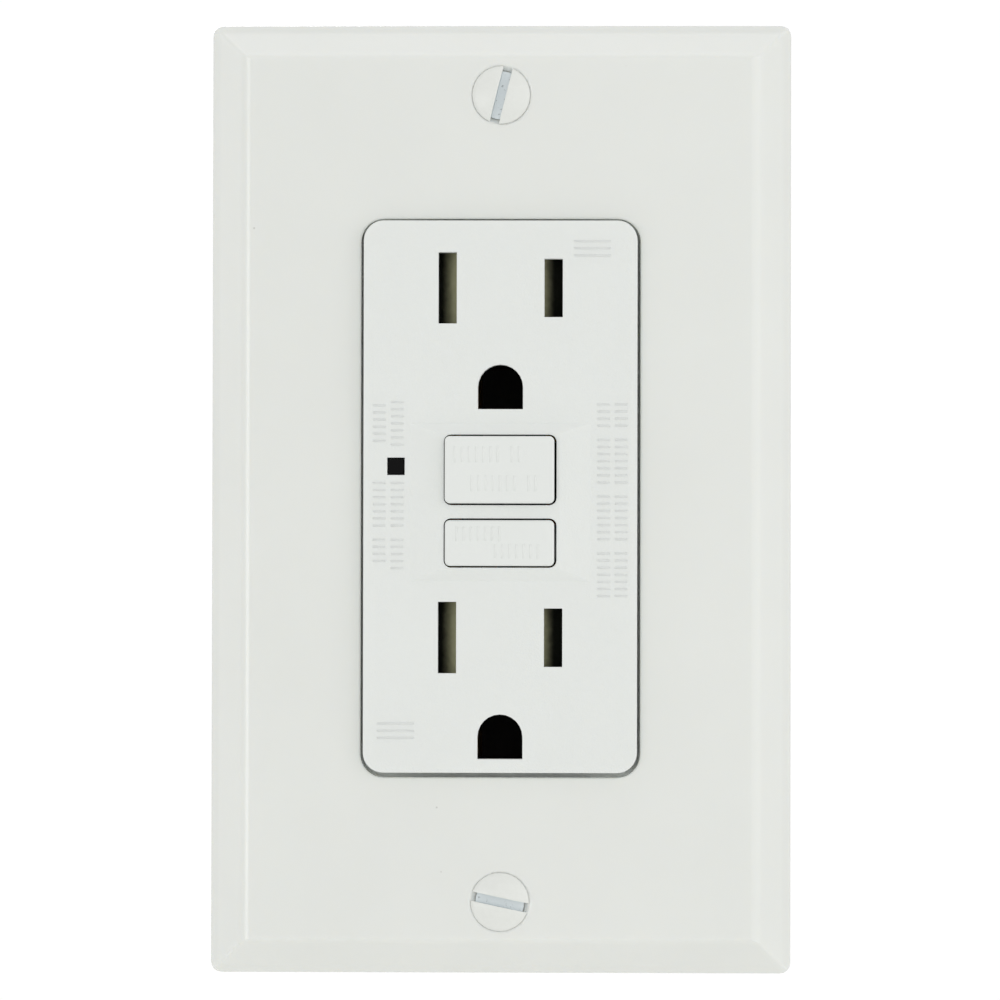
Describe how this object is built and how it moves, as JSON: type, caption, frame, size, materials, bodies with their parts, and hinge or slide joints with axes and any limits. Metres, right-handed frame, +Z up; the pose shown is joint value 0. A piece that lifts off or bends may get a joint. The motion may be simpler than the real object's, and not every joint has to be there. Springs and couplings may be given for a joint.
{
  "type": "gfci outlet",
  "caption": "White duplex ground-fault receptacle with shuttered sockets, test and reset buttons, strap, housing, trip mechanism and bevelled one-gang wall plate.",
  "frame": {"origin": "on the wall surface, at the centre of the receptacle, where the device is screwed to its wall box", "axes": "+X to the right seen from the front, +Y into the wall, +Z up"},
  "size_m": [0.0698, 0.038, 0.1143],
  "materials": {
    "plate_white": "smooth glossy moulded white",
    "painted_screw": "white enamel on zinc-plated steel, bare in the slot",
    "face_white": "fine satin texture",
    "button_white": "fine satin texture",
    "lens_smoke": "smoked clear, glossy",
    "shutter_grey": "olive grey, satin",
    "zinc_steel": "bright zinc plate",
    "spring_steel": "drawn wire",
    "black_housing": "moulded, satin",
    "white_housing": "moulded, satin",
    "brass_contact": "stamped, satin",
    "nickel_steel": "nickel plate",
    "copper_bridge": "copper alloy with silver buttons",
    "copper_winding": "enamelled magnet wire",
    "green_steel": "green plated hexagon screw",
    "board_laminate": "green solder mask on glass laminate",
    "varistor_blue": "dipped epoxy",
    "capacitor_resin": "dipped resin",
    "fibre_washer": "vulcanised fibre",
    "led_clear": "clear tinted resin"
  },
  "bodies": {
    "device": {"wall_plate": "plate_white", "plate_screw_top": "painted_screw", "plate_screw_bottom": "painted_screw", "front_cover": "face_white", "status_lens": "lens_smoke", "mounting_strap": "zinc_steel", "middle_housing": "black_housing", "rear_housing": "white_housing", "mounting_screw_top": "zinc_steel", "mounting_screw_bottom": "zinc_steel", "screw_retainer_top": "fibre_washer", "screw_retainer_bottom": "fibre_washer", "housing_screw_1": "zinc_steel", "housing_screw_2": "zinc_steel", "housing_screw_3": "zinc_steel", "housing_screw_4": "zinc_steel", "line_hot_terminal": "brass_contact", "line_neutral_terminal": "brass_contact", "load_hot_contact_bar": "brass_contact", "load_neutral_contact_bar": "brass_contact", "reset_spring": "spring_steel", "carriage_spring": "spring_steel", "test_contact_spring": "brass_contact", "upper_shutter_spring": "spring_steel", "lower_shutter_spring": "spring_steel", "plunger_spring": "spring_steel", "circuit_board": "board_laminate", "solenoid_bobbin": "white_housing", "solenoid_coil": "copper_winding", "transformer_case": "black_housing", "sense_coil": "copper_winding", "neutral_coil": "copper_winding", "varistor": "varistor_blue", "film_capacitor": "capacitor_resin", "controller_chip": "black_housing", "thyristor": "black_housing", "status_led": "led_clear", "upper_ground_contact": "brass_contact", "lower_ground_contact": "brass_contact"},
    "reset": {"reset_button": "button_white", "reset_pin": "zinc_steel"},
    "test": {"test_button": "button_white"},
    "carriage": {"contact_carriage": "black_housing", "hot_bridge_contact": "copper_bridge", "neutral_bridge_contact": "copper_bridge"},
    "latch": {"latch_plate": "zinc_steel"},
    "plunger": {"solenoid_plunger": "zinc_steel"},
    "upper_left_shutter": {"upper_shutter_left": "shutter_grey"},
    "upper_right_shutter": {"upper_shutter_right": "shutter_grey"},
    "lower_left_shutter": {"lower_shutter_left": "shutter_grey"},
    "lower_right_shutter": {"lower_shutter_right": "shutter_grey"},
    "line_hot_screw": {"line_hot_screw": "brass_contact"},
    "line_hot_clamp": {"line_hot_clamp": "brass_contact"},
    "load_hot_screw": {"load_hot_screw": "brass_contact"},
    "load_hot_clamp": {"load_hot_clamp": "brass_contact"},
    "line_neutral_screw": {"line_neutral_screw": "nickel_steel"},
    "line_neutral_clamp": {"line_neutral_clamp": "nickel_steel"},
    "load_neutral_screw": {"load_neutral_screw": "nickel_steel"},
    "load_neutral_clamp": {"load_neutral_clamp": "nickel_steel"},
    "ground_screw": {"ground_screw": "green_steel"}
  },
  "joints": [
    {"name": "reset_press", "type": "slide", "parent": "device", "child": "reset", "axis": [0, 1, 0], "range_m": [0, 0.0022], "stiffness_N_per_m": 600, "springref_m": -0.002, "deforming": ["reset_spring"]},
    {"name": "test_press", "type": "slide", "parent": "device", "child": "test", "axis": [0, 1, 0], "range_m": [0, 0.0013], "stiffness_N_per_m": 400, "springref_m": -0.001, "deforming": ["test_contact_spring"]},
    {"name": "carriage_close", "type": "slide", "parent": "device", "child": "carriage", "axis": [0, -1, 0], "range_m": [0, 0.00095], "stiffness_N_per_m": 500, "springref_m": -0.002, "deforming": ["carriage_spring"]},
    {"name": "plunger_trip", "type": "slide", "parent": "device", "child": "plunger", "axis": [0, 0, -1], "range_m": [0, 0.0015], "stiffness_N_per_m": 300, "springref_m": -0.001, "deforming": ["plunger_spring"]},
    {"name": "latch_slide", "type": "slide", "parent": "carriage", "child": "latch", "axis": [0, 0, -1], "range_m": [0, 0.0015]},
    {"name": "upper_left_shutter_slide", "type": "slide", "parent": "device", "child": "upper_left_shutter", "axis": [1, 0, 0], "range_m": [0, 0.0028], "stiffness_N_per_m": 150, "springref_m": -0.001, "deforming": ["upper_shutter_spring"]},
    {"name": "upper_right_shutter_slide", "type": "slide", "parent": "device", "child": "upper_right_shutter", "axis": [-1, 0, 0], "range_m": [0, 0.0028], "deforming": ["upper_shutter_spring"]},
    {"name": "lower_left_shutter_slide", "type": "slide", "parent": "device", "child": "lower_left_shutter", "axis": [1, 0, 0], "range_m": [0, 0.0028], "stiffness_N_per_m": 150, "springref_m": -0.001, "deforming": ["lower_shutter_spring"]},
    {"name": "lower_right_shutter_slide", "type": "slide", "parent": "device", "child": "lower_right_shutter", "axis": [-1, 0, 0], "range_m": [0, 0.0028], "deforming": ["lower_shutter_spring"]},
    {"name": "line_hot_clamp_slide", "type": "slide", "parent": "device", "child": "line_hot_clamp", "axis": [1, 0, 0], "range_m": [0, 0.0023]},
    {"name": "line_hot_screw_turn", "type": "hinge", "parent": "device", "child": "line_hot_screw", "pos_m": [0.0192, 0.0095, -0.02], "axis": [-1, 0, 0], "range_deg": [0, 1043]},
    {"name": "load_hot_clamp_slide", "type": "slide", "parent": "device", "child": "load_hot_clamp", "axis": [1, 0, 0], "range_m": [0, 0.0023]},
    {"name": "load_hot_screw_turn", "type": "hinge", "parent": "device", "child": "load_hot_screw", "pos_m": [0.0192, 0.0095, 0.02], "axis": [-1, 0, 0], "range_deg": [0, 1043]},
    {"name": "line_neutral_clamp_slide", "type": "slide", "parent": "device", "child": "line_neutral_clamp", "axis": [-1, 0, 0], "range_m": [0, 0.0023]},
    {"name": "line_neutral_screw_turn", "type": "hinge", "parent": "device", "child": "line_neutral_screw", "pos_m": [-0.0192, 0.0095, -0.02], "axis": [1, 0, 0], "range_deg": [0, 1043]},
    {"name": "load_neutral_clamp_slide", "type": "slide", "parent": "device", "child": "load_neutral_clamp", "axis": [-1, 0, 0], "range_m": [0, 0.0023]},
    {"name": "load_neutral_screw_turn", "type": "hinge", "parent": "device", "child": "load_neutral_screw", "pos_m": [-0.0192, 0.0095, 0.02], "axis": [1, 0, 0], "range_deg": [0, 1043]},
    {"name": "ground_screw_turn", "type": "hinge", "parent": "device", "child": "ground_screw", "pos_m": [-0.0155, 0.0052, -0.0395], "axis": [1, 0, 0], "range_deg": [-1080, 0]}
  ],
  "couplings": [
    {"joint": "latch_slide", "follows": "plunger_trip", "ratio": 1},
    {"joint": "upper_right_shutter_slide", "follows": "upper_left_shutter_slide", "ratio": 1},
    {"joint": "lower_right_shutter_slide", "follows": "lower_left_shutter_slide", "ratio": 1},
    {"joint": "line_hot_screw_turn", "follows": "line_hot_clamp_slide", "rad_per_m": 7913.3},
    {"joint": "load_hot_screw_turn", "follows": "load_hot_clamp_slide", "rad_per_m": 7913.3},
    {"joint": "line_neutral_screw_turn", "follows": "line_neutral_clamp_slide", "rad_per_m": 7913.3},
    {"joint": "load_neutral_screw_turn", "follows": "load_neutral_clamp_slide", "rad_per_m": 7913.3}
  ]
}
